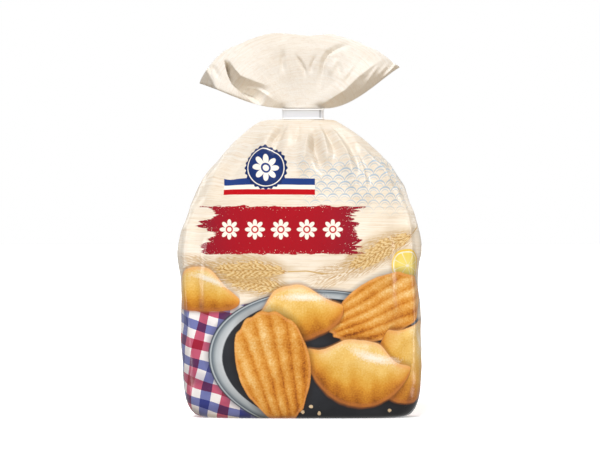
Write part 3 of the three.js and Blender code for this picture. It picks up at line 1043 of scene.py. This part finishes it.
# ---- Studio ------------------------------------------------------------------------------
# A wide pale floor, lit a little from below as a light table is, that meets a white surround.
# One broad soft light from high in front and weaker ones from the right and from behind, narrow
# lamps for the gloss, and a long lens.

FLOOR_RADIUS = 20
CAMERA_PLACE = (0, -2.4, 0.1417)
CAMERA_LENS = 194.6

bpy.ops.mesh.primitive_circle_add(vertices=96, radius=FLOOR_RADIUS, fill_type="NGON")
floor = bpy.context.object
floor.name = "floor"
floor.visible_diffuse = floor.visible_glossy = floor.visible_shadow = False
pale = Finish("pale_floor")
light_table = pale.surface(
    Base_Color="#FFFFFF",
    Roughness=0.9,
    Specular_IOR_Level=0,
    Emission_Color="#FFFFFF",
    Emission_Strength=0.3,
)
floor.data.materials.append(light_table)

world = bpy.data.worlds.new("studio")
world.use_nodes = True
surround = world.node_tree
lit = surround.nodes["Background"]
lit.inputs["Color"].default_value = (1, 0.87, 0.71, 1)
lit.inputs["Strength"].default_value = 0.28
path = surround.nodes.new("ShaderNodeLightPath")
shown = lit.outputs["Background"]
for ray, strength in (("Is Glossy Ray", 0.6), ("Is Camera Ray", 1)):
    white_wall = surround.nodes.new("ShaderNodeBackground")
    white_wall.inputs["Color"].default_value = (1, 1, 1, 1)
    white_wall.inputs["Strength"].default_value = strength
    choice = surround.nodes.new("ShaderNodeMixShader")
    surround.links.new(path.outputs[ray], choice.inputs["Fac"])
    surround.links.new(shown, choice.inputs[1])
    surround.links.new(white_wall.outputs["Background"], choice.inputs[2])
    shown = choice.outputs["Shader"]
surround.links.new(shown, surround.nodes["World Output"].inputs["Surface"])
bpy.context.scene.world = world
bpy.context.scene.view_settings.view_transform = "Standard"


def place_light(name, light, place, aim, gloss):
    """Puts a light at a place, looking at a point. It lights either the gloss or all the rest."""
    thing = bpy.data.objects.new(name, light)
    thing.visible_glossy = gloss
    thing.visible_diffuse = not gloss
    thing.location = place
    thing.rotation_euler = (Vector(aim) - Vector(place)).to_track_quat("-Z", "Y").to_euler()
    bpy.context.collection.objects.link(thing)


def sky_light(name, azimuth, elevation, strength, spread, colour=(1, 1, 1)):
    """A broad light from far off. Azimuth 0 is in front, and more is to the right."""
    light = bpy.data.lights.new(name, "SUN")
    light.energy = strength * math.pi
    light.color = colour
    light.angle = math.radians(spread)
    a, e = math.radians(azimuth), math.radians(elevation)
    place = (3 * math.sin(a) * math.cos(e), -3 * math.cos(a) * math.cos(e), 3 * math.sin(e))
    place_light(name, light, place, (0, 0, 0), gloss=False)


def strip_lamp(name, place, aim, size, power):
    light = bpy.data.lights.new(name, "AREA")
    light.shape = "RECTANGLE"
    light.size, light.size_y = size
    light.energy = power
    place_light(name, light, place, aim, gloss=True)


sky_light("front_light", -13, 38, 0.86, 20, (0.97, 1.005, 1.06))
sky_light("right_fill", 65, 12, 0.2, 60, (1, 0.96, 0.9))
sky_light("back_light", 200, 40, 0.58, 50)
sky_light("floor_bounce", 20, -40, 0.16, 100, (1, 0.78, 0.54))
strip_lamp("left_lamp", (-1, -0.02, 0.24), (0, 0, 0.16), (0.2, 0.8), 4.2)
strip_lamp("right_lamp", (1, 0, 0.24), (0, 0, 0.16), (0.2, 0.8), 4.2)
strip_lamp("shoulder_lamp", (0.56, -0.38, 0.96), (0.045, 0, 0.185), (0.14, 0.5), 9)
strip_lamp("left_rim_lamp", (-0.62, 0.7, 0.55), (-0.05, 0, 0.17), (0.2, 0.5), 0.7)
strip_lamp("right_rim_lamp", (0.62, 0.7, 0.55), (0.05, 0, 0.17), (0.2, 0.5), 0.7)

lens = bpy.data.cameras.new("camera")
lens.lens = CAMERA_LENS
camera = bpy.data.objects.new("camera", lens)
camera.location = CAMERA_PLACE
camera.rotation_euler = (math.radians(90), 0, 0)
bpy.context.collection.objects.link(camera)
bpy.context.scene.camera = camera
